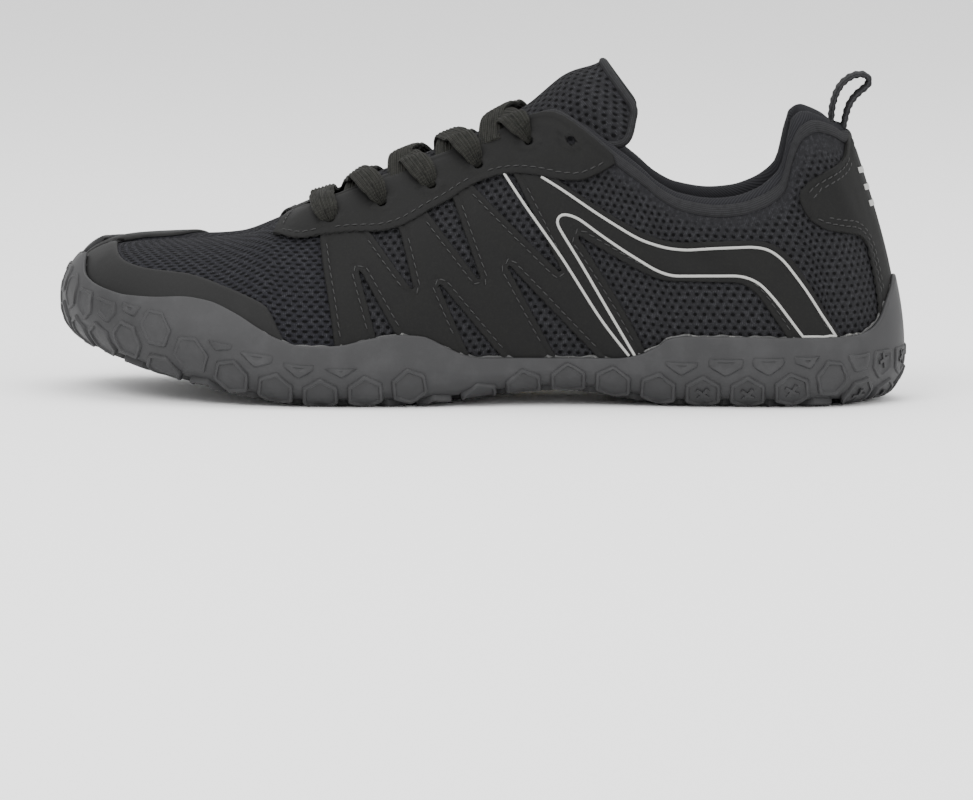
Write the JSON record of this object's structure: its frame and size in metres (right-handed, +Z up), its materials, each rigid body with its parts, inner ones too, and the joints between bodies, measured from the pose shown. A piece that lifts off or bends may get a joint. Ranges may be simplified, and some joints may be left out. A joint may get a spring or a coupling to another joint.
{
  "type": "barefoot shoe",
  "caption": "Low, wide-toed lace-up training shoe for the left foot: mesh upper with overlays, flat flexible rubber sole with a honeycomb tread that climbs the toe and heel.",
  "frame": {"origin": "on the floor under the middle of the heel, at the face of the tread lug that is centred there", "axes": "+X from heel to toe, +Y to the wearer's left, the outer side of this left shoe, +Z up"},
  "size_m": [0.2806, 0.1076, 0.111],
  "materials": {
    "rubber": "matte moulded rubber",
    "accent": "smooth moulded rubber",
    "mesh": "open air mesh over a dark lining",
    "synthetic": "matte brushed synthetic leather with stitched edges",
    "lining": "fine knit",
    "lace": "flat ribbed woven lace",
    "webbing": "woven tape"
  },
  "bodies": {
    "root": {"outsole": "rubber", "arch_insert": "accent", "upper": "mesh", "toe_overlay": "synthetic", "eyestay": "synthetic", "side_overlay_lateral": "synthetic", "side_overlay_medial": "synthetic", "heel_counter": "synthetic", "tongue": "mesh", "insole": "lining", "lace": "lace", "pull_loop": "webbing"}
  },
  "joints": []
}
